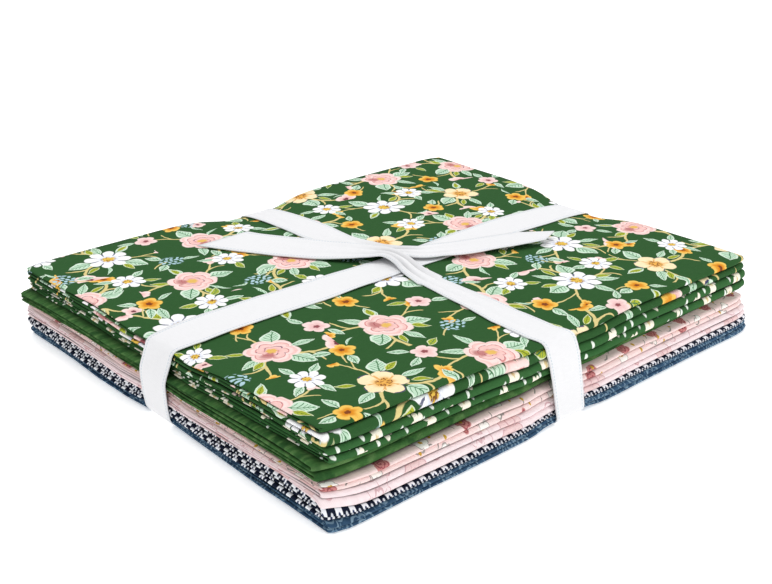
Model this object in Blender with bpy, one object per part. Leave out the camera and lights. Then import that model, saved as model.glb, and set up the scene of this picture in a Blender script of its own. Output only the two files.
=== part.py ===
"""Fabric bundle: seven folded cuts of quilting cotton in a stack, tied crosswise with one white ribbon.

Each cut is folded in four across its width, and that strip is folded back and forth in four, so a cut
shows two round folds at the front (-Y) and the sides of its four runs at the left (-X). A run is one
layer here: four plies of cotton lying on each other. +Z is up and the bundle rests on z = 0.
"""

import math

import bmesh
import bpy
import numpy as np
from mathutils import Vector

# The folded cuts
FOLDED_LENGTH = 0.280
FOLDED_WIDTH = 0.230
LAYER_THICKNESS = 0.00103
LAYER_GAP = 0.00040
RUNS = 4
FOLD_SEGMENTS = 3
CLOTH_ROUGHNESS = 0.9
CORNER_ROUNDING = 0.0022
CORNER_REACH = 0.012
CORNER_POWER = 6

# How far the side edges of a cut's layers wander, in how many waves, and how unlike the next cut's
EDGE_WANDER = 0.0007
LEFT_WAVES = 1.3
RIGHT_WAVES = 1.82
NEXT_WAVE = 0.37

# The beds that the ribbon presses into the cloth: middle line of each, half width, and what they do
BED_X = -0.0045
BED_Y = -0.0040
BED_HALF = 0.0125
EDGE_DIP = 0.0042
EDGE_DIP_POWER = 5
DIP_SPREAD = 0.020
SIDE_PULL = 0.0026
SIDE_PULL_POWER = 8
GROOVE_SPREAD = 0.021

# Stations of the layers' mesh, the middle three of them at each bed
X_STATIONS = (-0.113, -0.048, BED_X - BED_HALF, BED_X, BED_X + BED_HALF, 0.032, 0.102)
Y_STATIONS = (-0.084, -0.041, BED_Y - BED_HALF, BED_Y, BED_Y + BED_HALF, 0.036, 0.086)

# Height of the stack's top at its corners, and what its middle adds
LEFT_FRONT_TOP = 0.0425
RIGHT_FRONT_TOP = 0.0390
RIGHT_BACK_TOP = 0.0378
LEFT_BACK_TOP = 0.0365
MIDDLE_RISE = 0.0006

# Cuts from the bottom up: name, colour, and how far each reaches. A cut can lie a little askew, so its
# left and right edges have a place at their front and back end, and its front edge at its left and right.
CUTS = (
    ("cloth_blue", (0.050, 0.105, 0.215), (-0.1405, -0.1390), (0.1415, 0.1420), (-0.1182, -0.1175), 0.1181),
    ("cloth_check", (0.240, 0.250, 0.290), (-0.1405, -0.1405), (0.1415, 0.1415), (-0.1162, -0.1168), 0.1175),
    ("cloth_blush", (0.800, 0.560, 0.530), (-0.1410, -0.1410), (0.1415, 0.1420), (-0.1162, -0.1155), 0.1170),
    ("cloth_posy", (0.780, 0.540, 0.500), (-0.1400, -0.1400), (0.1405, 0.1410), (-0.1150, -0.1130), 0.1160),
    ("cloth_mottled", (0.070, 0.170, 0.045), (-0.1410, -0.1440), (0.1380, 0.1380), (-0.1120, -0.1075), 0.1165),
    ("cloth_blossom", (0.045, 0.150, 0.070), (-0.1375, -0.1380), (0.1410, 0.1415), (-0.1145, -0.1135), 0.1155),
    ("cloth_floral", (0.040, 0.140, 0.065), (-0.1390, -0.1390), (0.1385, 0.1442), (-0.1130, -0.1115), 0.1160),
)

# What each cut adds to the stack's height, from the bottom up: at the left, at the right
CUT_HEIGHTS = (
    (0.0055, 0.0053),
    (0.0056, 0.0052),
    (0.0064, 0.0052),
    (0.0061, 0.0055),
    (0.0055, 0.0052),
    (0.0064, 0.0060),
    (0.0070, 0.0066),
)

# The ribbon: band A lies along X, band B along Y and over it. Each has its middle line and width along
# the top, which the knot draws askew and gathers, and along the underside.
RIBBON_COLOUR = (0.860, 0.860, 0.850)
RIBBON_ROUGHNESS = 0.55
RIBBON_THICKNESS = 0.0010
RIBBON_GAP = 0.00042
BAND_STEP = 0.0004
STATION_SPACING = 0.016
CLOSEST_POINTS = 0.0001
SHOULDER_HEIGHT = 0.032
BAND_A_ON_TOP = (
    (-0.138, -0.0050, 0.0205),
    (-0.124, -0.0052, 0.0235),
    (-0.060, -0.0075, 0.0230),
    (-0.012, -0.0078, 0.0200),
    (0.094, -0.0037, 0.0230),
    (0.111, -0.0030, 0.0216),
    (0.140, -0.0016, 0.0190),
)
BAND_A_BELOW = (
    (-0.138, -0.0020, 0.0190),
    (0.140, -0.0030, 0.0190),
)
BAND_B_ON_TOP = (
    (-0.115, -0.0060, 0.0195),
    (-0.103, -0.0090, 0.0190),
    (-0.084, -0.0112, 0.0180),
    (-0.054, -0.0098, 0.0145),
    (-0.036, -0.0085, 0.0134),
    (-0.023, -0.0075, 0.0120),
    (0.001, -0.0055, 0.0120),
    (0.021, -0.0050, 0.0150),
    (0.056, -0.0045, 0.0215),
    (0.086, -0.0035, 0.0196),
    (0.115, -0.0020, 0.0180),
)
BAND_B_BELOW = (
    (-0.115, -0.0020, 0.0185),
    (0.115, -0.0015, 0.0185),
)

# The two strands of the knot, each from its band, over the crossing and out into a loose tail:
# x, y, height of the middle over the cloth, width, thickness
FRONT_STRAND = (
    (-0.0085, -0.0350, 0.0011, 0.0110, 0.0008),
    (-0.0070, -0.0210, 0.0024, 0.0100, 0.0020),
    (-0.0055, -0.0110, 0.0037, 0.0100, 0.0030),
    (-0.0070, -0.0010, 0.0040, 0.0120, 0.0030),
    (-0.0115, 0.0080, 0.0033, 0.0170, 0.0022),
    (-0.0190, 0.0210, 0.0024, 0.0230, 0.0012),
    (-0.0290, 0.0410, 0.0019, 0.0240, 0.0010),
    (-0.0385, 0.0610, 0.0015, 0.0240, 0.0010),
    (-0.0465, 0.0790, 0.0014, 0.0240, 0.0010),
)
BACK_STRAND = (
    (-0.0045, 0.0390, 0.0011, 0.0150, 0.0008),
    (-0.0025, 0.0250, 0.0026, 0.0130, 0.0020),
    (-0.0005, 0.0130, 0.0044, 0.0110, 0.0030),
    (0.0005, 0.0020, 0.0050, 0.0105, 0.0030),
    (0.0055, -0.0060, 0.0042, 0.0130, 0.0024),
    (0.0195, -0.0135, 0.0029, 0.0190, 0.0013),
    (0.0405, -0.0205, 0.0022, 0.0215, 0.0010),
    (0.0615, -0.0252, 0.0018, 0.0205, 0.0010),
    (0.0730, -0.0287, 0.0016, 0.0175, 0.0010),
    (0.0796, -0.0335, 0.0015, 0.0116, 0.0010),
)
STRAND_STATIONS = 20
STRAND_SIDES = 8
STRAND_ROUNDNESS = 0.5
FRONT_TAIL_SLANT = -0.016
BACK_TAIL_SLANT = -0.0117

LAYER_PITCH = LAYER_THICKNESS + LAYER_GAP
STACK_HEIGHT = LAYER_PITCH * RUNS * len(CUTS) - LAYER_GAP
HALF_LENGTH = FOLDED_LENGTH / 2
HALF_WIDTH = FOLDED_WIDTH / 2
EVEN_LEVELS = [LAYER_PITCH * RUNS * index for index in range(len(CUTS))] + [STACK_HEIGHT]
LEFT_LEVELS, RIGHT_LEVELS = np.cumsum(((0.0, 0.0), *CUT_HEIGHTS), axis=0).T


def past_bed(distance):
    """How far a place lies beside a bed, 0 in it."""
    return max(abs(distance) - BED_HALF, 0.0)


def bell(distance):
    return math.exp(-((distance / DIP_SPREAD) ** 2))


def towards_edge(at, half, stations):
    """Grows from 0 in the middle to 1 at the edge, evenly past the last station, as the layers do."""
    last = stations[-1] if at > 0 else -stations[0]
    there = (last / half) ** EDGE_DIP_POWER
    if abs(at) < last:
        return abs(at / half) ** EDGE_DIP_POWER
    return there + (1.0 - there) * (abs(at) - last) / (half - last)


def top_height(x, y):
    """Height of the stack's top: uneven corners, drawn down at the edges where the ribbon goes over."""
    across = min(max((x + HALF_LENGTH) / FOLDED_LENGTH, 0.0), 1.0)
    along = min(max((y + HALF_WIDTH) / FOLDED_WIDTH, 0.0), 1.0)
    front = LEFT_FRONT_TOP + (RIGHT_FRONT_TOP - LEFT_FRONT_TOP) * across
    back = LEFT_BACK_TOP + (RIGHT_BACK_TOP - LEFT_BACK_TOP) * across
    rise = MIDDLE_RISE * math.sin(math.pi * across) * math.sin(math.pi * along)
    dip_a = towards_edge(x, HALF_LENGTH, X_STATIONS) * bell(past_bed(y - BED_Y))
    dip_b = towards_edge(y, HALF_WIDTH, Y_STATIONS) * bell(past_bed(x - BED_X))
    return front + (back - front) * along + rise - EDGE_DIP * (dip_a + dip_b)


def underside_height(x, y):
    """The bottom cut rises over the two bands, which lie flat under it."""
    depth = RIBBON_THICKNESS + RIBBON_GAP
    over_a = (depth + BAND_STEP) * max(1.0 - past_bed(y - BED_Y) / GROOVE_SPREAD, 0.0)
    over_b = depth * max(1.0 - past_bed(x - BED_X) / GROOVE_SPREAD, 0.0)
    return max(over_a, over_b)


def settle(x, y, height):
    """Moves a point of an even stack to where the tied, uneven one has it."""
    low = underside_height(x, y)
    across = x / FOLDED_LENGTH + 0.5
    left = np.interp(height, EVEN_LEVELS, LEFT_LEVELS / LEFT_LEVELS[-1])
    right = np.interp(height, EVEN_LEVELS, RIGHT_LEVELS / RIGHT_LEVELS[-1])
    z = low + (left + (right - left) * across) * (top_height(x, y) - low)
    pull_x = SIDE_PULL * abs(x / HALF_LENGTH) ** SIDE_PULL_POWER * bell(past_bed(y - BED_Y))
    pull_y = SIDE_PULL * abs(y / HALF_WIDTH) ** SIDE_PULL_POWER * bell(past_bed(x - BED_X))
    near_side = max(1.0 - (HALF_LENGTH - abs(x)) / CORNER_REACH, 0.0)
    rounding = CORNER_ROUNDING * near_side**2 * abs(y / HALF_WIDTH) ** CORNER_POWER
    return Vector((x - math.copysign(pull_x, x), y - math.copysign(pull_y + rounding, y), z))


def middle_line(first_run, fronts, back):
    """Middle line of a cut in its Y-Z section, from the back edge of its lowest run to that of its top one.

    Each entry has y at the left and right end, the height, and the line's unit normal.
    """
    radius = LAYER_PITCH / 2
    front_turn = [front + radius for front in fronts]
    back_turn = [back - radius] * 2
    stops = [front_turn] + [[y, y] for y in Y_STATIONS] + [back_turn]
    line = []
    for run in range(RUNS):
        height = (first_run + run) * LAYER_PITCH + LAYER_THICKNESS / 2
        to_front = run % 2 == 0
        side = -1.0 if to_front else 1.0
        for ends in reversed(stops) if to_front else stops:
            line.append((ends, height, (0.0, side)))
        if run == RUNS - 1:
            break
        turn = front_turn if to_front else back_turn
        for step in range(1, FOLD_SEGMENTS):
            angle = math.pi * step / FOLD_SEGMENTS
            out = side * math.sin(angle)
            up = -math.cos(angle)
            ends = [y + radius * out for y in turn]
            line.append((ends, height + radius * (1.0 + up), (-side * out, -side * up)))
    return line


def between(ends, share):
    return ends[0] + (ends[1] - ends[0]) * share


def wander(turns):
    return EDGE_WANDER * math.sin(2 * math.pi * turns)


def cut_rings(index, left, right, front, back):
    """The closed section of one cut at each station along X."""
    line = middle_line(index * RUNS, front, back)
    half = LAYER_THICKNESS / 2
    rings = []
    for station in range(len(X_STATIONS) + 2):
        below = []
        above = []
        for number, (ends, height, normal) in enumerate(line):
            share = number / len(line)
            along = (sum(ends) / 2 + HALF_WIDTH) / FOLDED_WIDTH
            x_left = between(left, along) + wander(LEFT_WAVES * share + NEXT_WAVE * index)
            x_right = between(right, along) + wander(RIGHT_WAVES * share + NEXT_WAVE * (index + 1))
            x = (x_left, *X_STATIONS, x_right)[station]
            y = between(ends, (x - x_left) / (x_right - x_left))
            below.append(settle(x, y + normal[0] * half, height + normal[1] * half))
            above.append(settle(x, y - normal[0] * half, height - normal[1] * half))
        rings.append(below + above[::-1])
    return rings


def span(a, b):
    """How far two corners lie apart towards the right and the back together."""
    return abs(a.co.x + a.co.y - b.co.x - b.co.y)


def add_quad(shape, a, b, c, d):
    """Two triangles that meet along the diagonal to the right and back, so stacked layers bend alike."""
    if span(a, c) < span(b, d):
        a, b, c, d = b, c, d, a
    shape.faces.new((a, b, c))
    shape.faces.new((a, c, d))


def skin(rings, closed):
    """A surface between like rings of points; the end rings are joined to each other, or capped across."""
    shape = bmesh.new()
    loops = [[shape.verts.new(point) for point in ring] for ring in rings]
    count = len(loops[0])
    pairs = zip(loops, loops[1:] + loops[:1]) if closed else zip(loops, loops[1:])
    for first, second in pairs:
        for i in range(count):
            j = (i + 1) % count
            add_quad(shape, first[i], second[i], second[j], first[j])
    if not closed:
        for loop in (loops[0], loops[-1]):
            for i in range(count // 2 - 1):
                add_quad(shape, loop[i], loop[i + 1], loop[count - 2 - i], loop[count - 1 - i])
    bmesh.ops.recalc_face_normals(shape, faces=shape.faces)
    return shape


def add_object(name, shape, colour, roughness):
    mesh = bpy.data.meshes.new(name)
    shape.to_mesh(mesh)
    shape.free()
    material = bpy.data.materials.new(name)
    material.use_nodes = True
    shader = material.node_tree.nodes["Principled BSDF"]
    shader.inputs["Base Color"].default_value = (*colour, 1.0)
    shader.inputs["Roughness"].default_value = roughness
    mesh.materials.append(material)
    made = bpy.data.objects.new(name, mesh)
    bpy.context.scene.collection.objects.link(made)
    return made


def convex_outline(points):
    """Convex outline of flat points, anticlockwise, without points that nearly meet."""
    ordered = sorted({(round(p, 6), round(q, 6)) for p, q in points})
    outline = []
    for way in (ordered, ordered[::-1]):
        half = []
        for point in way:
            while len(half) > 1:
                (p0, q0), (p1, q1) = half[-2:]
                if (p1 - p0) * (point[1] - q0) - (q1 - q0) * (point[0] - p0) > 0:
                    break
                half.pop()
            half.append(point)
        outline += half[:-1]
    outline = [Vector(point) for point in outline]
    return [p for p, q in zip(outline, outline[1:] + outline[:1]) if (p - q).length > CLOSEST_POINTS]


def grow(outline, distance):
    """Moves every side of a convex outline outwards."""
    grown = []
    for before, here, after in zip(outline[-1:] + outline[:-1], outline, outline[1:] + outline[:1]):
        first = (here - before).normalized()
        second = (after - here).normalized()
        outwards = Vector((first.y + second.y, -first.x - second.x)).normalized()
        grown.append(here + outwards * distance / outwards.dot(Vector((first.y, -first.x))))
    return grown


def wound_section(points):
    """Inner and outer points of a band drawn tight round the stack, in the plane of its section."""
    outline = convex_outline(points)
    inner = grow(outline, RIBBON_GAP)
    outer = grow(outline, RIBBON_GAP + RIBBON_THICKNESS)
    section = []
    for i in range(len(inner)):
        j = (i + 1) % len(inner)
        parts = math.ceil((inner[j] - inner[i]).length / STATION_SPACING)
        for part in range(parts):
            section.append((inner[i].lerp(inner[j], part / parts), outer[i].lerp(outer[j], part / parts)))
    return section


def read_row(table, at):
    """A table's other columns at a place in its first one."""
    keys, *columns = zip(*table)
    return [float(np.interp(at, keys, column)) for column in columns]


def band(points, axis, on_top, below, step):
    """A ring of ribbon round the stack; its width lies along `axis`, 0 for X and 1 for Y.

    It lies `step` higher where it passes over the other band.
    """
    bed, other_bed = (BED_X, BED_Y) if axis == 0 else (BED_Y, BED_X)
    near = [(p[1 - axis], p.z) for p in points if abs(p[axis] - bed) < BED_HALF + CLOSEST_POINTS]
    rings = []
    for inner, outer in wound_section(near):
        upwards = min(inner.y / SHOULDER_HEIGHT, 1.0)
        middle, width = (
            between(ends, upwards) for ends in zip(read_row(below, inner.x), read_row(on_top, inner.x))
        )
        ring = []
        for point, side in ((inner, -1), (inner, 1), (outer, 1), (outer, -1)):
            place = [point.x, middle + side * width / 2]
            centre = [point.x, bed]
            if axis == 0:
                place.reverse()
                centre.reverse()
            lift = step * max(1.0 - past_bed(point.x - other_bed) / GROOVE_SPREAD, 0.0)
            tilt = top_height(*place) - top_height(*centre)
            ring.append((*place, point.y + (lift + tilt) * upwards))
        rings.append(ring)
    return skin(rings, closed=True)


def smooth_rows(table, count):
    """Rows read from a smooth curve through a table's own rows."""
    rows = np.array(table)
    ahead = np.vstack([2 * rows[0] - rows[1], rows, 2 * rows[-1] - rows[-2]])
    read = []
    for at in np.linspace(0, len(rows) - 1, count):
        i = min(int(at), len(rows) - 2)
        t = at - i
        a, b, c, d = ahead[i : i + 4]
        read.append(0.5 * (2 * b + (c - a) * t + (2 * a - 5 * b + 4 * c - d) * t**2
                           + (3 * b - a - 3 * c + d) * t**3))
    return read


def strand(table, slant):
    """A gathered strand that runs out into a flat tail, its end cut at a slant."""
    rows = smooth_rows(table, STRAND_STATIONS)
    rings = []
    for number, (x, y, lift, width, thickness) in enumerate(rows):
        before = rows[max(number - 1, 0)]
        after = rows[min(number + 1, len(rows) - 1)]
        ahead = Vector((after[0] - before[0], after[1] - before[1], 0.0)).normalized()
        across = Vector((-ahead.y, ahead.x, 0.0))
        cut = slant if number == len(rows) - 1 else 0.0
        ring = []
        for corner in range(STRAND_SIDES):
            angle = 2 * math.pi * (corner + 0.5) / STRAND_SIDES
            side = math.copysign(abs(math.cos(angle)) ** STRAND_ROUNDNESS, math.cos(angle))
            up = math.copysign(abs(math.sin(angle)) ** STRAND_ROUNDNESS, math.sin(angle))
            place = Vector((x, y, 0.0)) + across * side * width / 2 - ahead * cut * side / 2
            ring.append((place.x, place.y, top_height(x, y) + lift + up * thickness / 2))
        rings.append(ring)
    return skin(rings, closed=False)


def build_ribbon(points):
    """The ribbon is one piece: both bands, the knot's strands and their tails."""
    band_a = band(points, 1, BAND_A_ON_TOP, BAND_A_BELOW, 0.0)
    ribbon = add_object("ribbon", band_a, RIBBON_COLOUR, RIBBON_ROUGHNESS)
    parts = {
        "band_b": band(points, 0, BAND_B_ON_TOP, BAND_B_BELOW, BAND_STEP),
        "front_strand": strand(FRONT_STRAND, FRONT_TAIL_SLANT),
        "back_strand": strand(BACK_STRAND, BACK_TAIL_SLANT),
    }
    for name, shape in parts.items():
        part = add_object(name, shape, RIBBON_COLOUR, RIBBON_ROUGHNESS)
        part.hide_render = True
        part.display_type = "WIRE"
        union = ribbon.modifiers.new(name, "BOOLEAN")
        union.operation = "UNION"
        union.solver = "EXACT"
        union.object = part


def main():
    for old in list(bpy.data.objects):
        bpy.data.objects.remove(old)
    points = []
    for index, (name, colour, *reach) in enumerate(CUTS):
        rings = cut_rings(index, *reach)
        points += [point for ring in rings for point in ring]
        add_object(name, skin(rings, closed=False), colour, CLOTH_ROUGHNESS)
    build_ribbon(points)


main()
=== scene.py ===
"""Looks of the fabric bundle: seven folded cuts of printed quilting cotton under a crosswise white ribbon."""

import math
from functools import partialmethod

import bmesh
import bpy
import numpy as np
from mathutils import Matrix, Vector
from mathutils.geometry import convex_hull_2d


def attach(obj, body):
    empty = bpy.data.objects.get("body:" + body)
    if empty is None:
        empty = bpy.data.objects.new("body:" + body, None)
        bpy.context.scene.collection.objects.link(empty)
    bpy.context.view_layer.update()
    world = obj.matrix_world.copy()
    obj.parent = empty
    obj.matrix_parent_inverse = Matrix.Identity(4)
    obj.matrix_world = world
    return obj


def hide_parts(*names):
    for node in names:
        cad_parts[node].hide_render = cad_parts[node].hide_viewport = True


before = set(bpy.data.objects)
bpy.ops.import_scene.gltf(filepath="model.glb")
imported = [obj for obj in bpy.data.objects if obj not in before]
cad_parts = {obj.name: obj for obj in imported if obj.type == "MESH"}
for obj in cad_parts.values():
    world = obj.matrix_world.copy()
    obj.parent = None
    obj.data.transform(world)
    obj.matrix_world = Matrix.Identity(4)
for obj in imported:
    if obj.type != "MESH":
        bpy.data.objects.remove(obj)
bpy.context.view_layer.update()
scene = bpy.context.scene

# The studio: the camera looks down on the bundle's front left corner, over a plain white floor, under
# a wide overhead lamp, a soft lamp at the front right and even light from all round.
CAMERA_TARGET = Vector((0.0010, 0.0069, 0.0188))
CAMERA_AZIMUTH = math.radians(-42.728)
CAMERA_ELEVATION = math.radians(23.224)
CAMERA_ROLL = math.radians(0.844)
CAMERA_DISTANCE = 0.61516
LENS = 56.69
SENSOR_WIDTH = 36.0
WHITE = (1.0, 1.0, 1.0, 1.0)
FLOOR_SIZE = 8.0
FLOOR_COLOUR = (0.98, 0.98, 0.98, 1.0)
FLOOR_ROUGHNESS = 0.95
FLOOR_GLOW = 0.36
ROOM_LIGHT = 0.60
LAMPS = (  # name, place, size, watts
    ("overhead_lamp", (-0.2, 0.5, 2.2), 2.2, 27.0),
    ("front_lamp", (1.5, -1.9, 1.1), 1.2, 18.5),
)

backwards = Vector((
    math.sin(CAMERA_AZIMUTH) * math.cos(CAMERA_ELEVATION),
    -math.cos(CAMERA_AZIMUTH) * math.cos(CAMERA_ELEVATION),
    math.sin(CAMERA_ELEVATION),
))
level_right = Vector((0.0, 0.0, 1.0)).cross(backwards).normalized()
level_up = backwards.cross(level_right)
right = level_right * math.cos(CAMERA_ROLL) + level_up * math.sin(CAMERA_ROLL)
up = backwards.cross(right)
camera = bpy.data.objects.new("camera", bpy.data.cameras.new("camera"))
camera.data.lens = LENS
camera.data.sensor_width = SENSOR_WIDTH
camera.matrix_world = Matrix.Translation(CAMERA_TARGET + backwards * CAMERA_DISTANCE) @ Matrix(
    (right, up, backwards)
).transposed().to_4x4()
scene.collection.objects.link(camera)
scene.camera = camera
scene.view_settings.view_transform = "Standard"

floor = bpy.data.objects.new("floor", bpy.data.meshes.new("floor"))
corners = [(x * FLOOR_SIZE / 2, y * FLOOR_SIZE / 2, 0.0) for x, y in ((-1, -1), (1, -1), (1, 1), (-1, 1))]
floor.data.from_pydata(corners, [], [(0, 1, 2, 3)])
scene.collection.objects.link(floor)
floor_paint = bpy.data.materials.new("floor_paint")
floor_paint.use_nodes = True
floor_shader = floor_paint.node_tree.nodes["Principled BSDF"]
floor_shader.inputs["Base Color"].default_value = FLOOR_COLOUR
floor_shader.inputs["Roughness"].default_value = FLOOR_ROUGHNESS
floor_shader.inputs["Emission Color"].default_value = WHITE
floor_shader.inputs["Emission Strength"].default_value = FLOOR_GLOW
floor.data.materials.append(floor_paint)

for name, place, size, watts in LAMPS:
    lamp = bpy.data.objects.new(name, bpy.data.lights.new(name, "AREA"))
    lamp.data.shape = "DISK"
    lamp.data.size = size
    lamp.data.energy = watts
    lamp.location = place
    lamp.rotation_euler = (CAMERA_TARGET - Vector(place)).to_track_quat("-Z", "Y").to_euler()
    scene.collection.objects.link(lamp)

room = bpy.data.worlds.new("room")
room.use_nodes = True
room.node_tree.nodes["Background"].inputs["Color"].default_value = WHITE
room.node_tree.nodes["Background"].inputs["Strength"].default_value = ROOM_LIGHT
scene.world = room

# The bottom cut: denim-blue quilting cotton with a pale outline print. Each cut is one length of cloth, folded
# in four across its width with the print outside, then back and forth in four runs, and held by the tie alone.
FOLDED_LENGTH = 0.280
FOLDED_WIDTH = 0.230
CUT_LENGTH = 0.914
HALF_LENGTH = FOLDED_LENGTH / 2
HALF_WIDTH = FOLDED_WIDTH / 2
RUNS = 4
CUTS = 7
RUN_HEIGHT = 0.00145

# Cloth within a run, in shares of the run's height: the four plies' middles and a ply's thickness
PLY_MIDDLES = (0.33, -0.33, -0.11, 0.11)
PLY_THICKNESS = 0.19
FOLD_DEPTH = 0.0021
LIP_DEPTH = 0.0017
SELVAGE_SETBACK = (0.0012, 0.0026)
SETBACK_POWER = 4
OUTER_TURN_STEPS = 8
INNER_TURN_STEPS = 5
LIPS_ACROSS = 1.4

# The tie's beds: middle line of each, half width, and how they draw the cloth down and in
BED_X = -0.0045
BED_Y = -0.0040
BED_HALF = 0.0125
EDGE_DIP = 0.0042
EDGE_DIP_POWER = 5
EDGE_DIP_LIMIT = 1.03
DIP_SPREAD = 0.020
SIDE_PULL = 0.0026
SIDE_PULL_POWER = 8
PULL_SPREAD = 0.010
LOW_PULL = 0.35
GROOVE_DEPTH = 0.0010
GROOVE_SPREAD = 0.010
CORNER_ROUNDING = 0.0022
CORNER_REACH = 0.012
CORNER_POWER = 6
CORNER_LIMIT = 1.5
RIGHT_BACK_TOP = 0.0378
MIDDLE_RISE = 0.0006

# Height of each fold's top edge, two folds a cut from the bottom up, at three of the stack's corners
FOLD_TOPS = (  # left front, right front, left back
    (0.0022, 0.0026, 0.0029),
    (0.0040, 0.0048, 0.0053),
    (0.0062, 0.0062, 0.0080),
    (0.0086, 0.0077, 0.0104),
    (0.0133, 0.0105, 0.0128),
    (0.0161, 0.0135, 0.0150),
    (0.0196, 0.0170, 0.0170),
    (0.0222, 0.0205, 0.0192),
    (0.0250, 0.0217, 0.0221),
    (0.0277, 0.0228, 0.0253),
    (0.0313, 0.0270, 0.0272),
    (0.0349, 0.0316, 0.0297),
    (0.0402, 0.0356, 0.0336),
    (0.0425, 0.0390, 0.0365),
)

# How much higher the same edges lie along the stack's left side: front half, back half
LEFT_LIFTS = (
    (0.0, 0.0),
    (0.0009, 0.0),
    (0.00175, 0.0),
    (0.0033, 0.0005),
    (0.0047, 0.0010),
    (0.0018, 0.0012),
    (0.0009, 0.0014),
    (-0.0006, 0.0016),
    (-0.0010, 0.0018),
    (-0.0005, 0.0009),
    *[(0.0, 0.0)] * 5,
)
LEFT_SPANS = (  # y, share of the front half's lift and of the back half's
    (-0.1185, 0.2, 0.0),
    (-0.1145, 1.5, 0.0),
    (-0.100, 1.35, 0.0),
    (-0.070, 0.82, 0.0),
    (-0.020, 0.4, 0.3),
    (0.020, 0.0, 1.0),
    (0.115, 0.0, 1.0),
)

# The same along the front: left corner, left half, right half
FRONT_LIFTS = (
    (0.0, 0.0, 0.0),
    (-0.0003, -0.0005, 0.0),
    (-0.0012, -0.0012, 0.0),
    (-0.0020, -0.0020, -0.0003),
    (-0.0026, -0.0028, -0.0006),
    (-0.0009, -0.0028, -0.0010),
    (-0.0002, -0.0025, -0.0014),
    (0.0, -0.0028, -0.0020),
    (-0.0005, -0.0033, -0.0026),
    (0.0, -0.0015, -0.0016),
    (0.0, -0.0008, -0.0010),
    (0.0, -0.0008, -0.0005),
    (0.0, -0.0004, 0.0),
    *[(0.0, 0.0, 0.0)] * 2,
)
FRONT_SPANS = (  # x, share of the corner's lift, of the left half's and of the right half's
    (-0.140, 1.0, 0.0, 0.0),
    (-0.118, 0.0, 1.0, 0.0),
    (-0.010, 0.0, 1.0, 0.0),
    (0.020, 0.0, 0.0, 1.0),
    (0.140, 0.0, 0.0, 1.0),
)
LEFT_LIFT_REACH = 0.012
FRONT_LIFT_REACH = 0.016

# Front edge of each fold, at the left and the right end
FOLD_FRONTS = (
    (-0.1182, -0.1175),
    (-0.1178, -0.1172),
    (-0.1160, -0.1166),
    (-0.1165, -0.1168),
    (-0.1165, -0.1158),
    (-0.1158, -0.1152),
    (-0.1152, -0.1134),
    (-0.1147, -0.1128),
    (-0.1124, -0.1080),
    (-0.1116, -0.1070),
    (-0.1145, -0.1135),
    (-0.1145, -0.1133),
    (-0.1138, -0.1120),
    (-0.1120, -0.1112),
)

# The other edges of each cut: left and right sides, each at the front and the back end, and the back
CUT_EDGES = (
    (-0.1388, -0.1385, 0.1415, 0.1420, 0.1181),
    (-0.1405, -0.1405, 0.1415, 0.1415, 0.1175),
    (-0.1410, -0.1410, 0.1415, 0.1420, 0.1170),
    (-0.1400, -0.1400, 0.1405, 0.1410, 0.1160),
    (-0.1410, -0.1440, 0.1380, 0.1380, 0.1165),
    (-0.1375, -0.1380, 0.1410, 0.1415, 0.1155),
    (-0.1390, -0.1390, 0.1385, 0.1442, 0.1160),
)

# Unevenness: waves of the cloth, and how its edges wander (size, rate and seed)
WAVE_PITCHES = (1.0, 2.3, 4.1)
WAVE_SUM = 1.3
WAVE_HEIGHT = 0.00025
WAVE_RATES = (4.0, 2.5, 0.11)
WAVE_SEED = 5
LEFT_WANDER = (0.0006, 7.0, 11)
RIGHT_WANDER = (0.0006, 6.0, 31)
FRONT_WANDER = (0.00035, 5.0, 51)
FRONT_WANDER_POWER = 4

# Drawing of a cut: points along and across a run and round a fold, and the painted shade between the folds
ROW_STATIONS = 15
COLUMN_STATIONS = 46
TURN_STEPS = 7
FOLD_BORDER = 0.25
CUT_BORDER = 0.12
CREASE_SHADE_START = 0.00012
CREASE_SHADE_REACH = 0.00065
CREASE_SHADE = 0.93
UNSHADED_SHARE = 0.21

# Cotton's surface: size in millimetres of its threads and slubs, how they shade it and stand out
THREAD_PITCH = 0.45
THREAD_SHADE = 0.06
SLUB_SIZE = 1.1
SLUB_SQUEEZE = 0.3
SLUB_SEED = 21.0
SLUB_SHADE = 0.22
SLUB_RELIEF = 1.5
SURFACE_RELIEF = 0.00006
RELIEF_STRENGTH = 0.35
COTTON_ROUGHNESS = 0.9
COTTON_SHINE = 0.10


def waves(place, seed):
    """A smooth uneven curve between about -1 and 1, the same for the same seed."""
    phases = np.random.default_rng(seed).random(len(WAVE_PITCHES))
    return sum(np.sin(2 * math.pi * (place * k + phase)) / k for k, phase in zip(WAVE_PITCHES, phases)) / WAVE_SUM


def swing(place, number, size, rate, seed):
    """How far the edge of one of several pieces, or a ribbon's pleats, swing out at a place."""
    return size * waves(place * rate, seed + number)


def past_bed(distance):
    """How far a place lies outside a ribbon's bed, from the distance to the bed's middle."""
    return np.maximum(np.abs(distance) - BED_HALF, 0.0)


def bell(distance, spread=DIP_SPREAD):
    """1 at no distance, falling off smoothly to 0."""
    return np.exp(-((distance / spread) ** 2))


def towards_edge(at, half):
    """0 in the middle of the stack, rising steeply to 1 at its edge."""
    return np.minimum(np.abs(at / half), EDGE_DIP_LIMIT) ** EDGE_DIP_POWER


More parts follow.
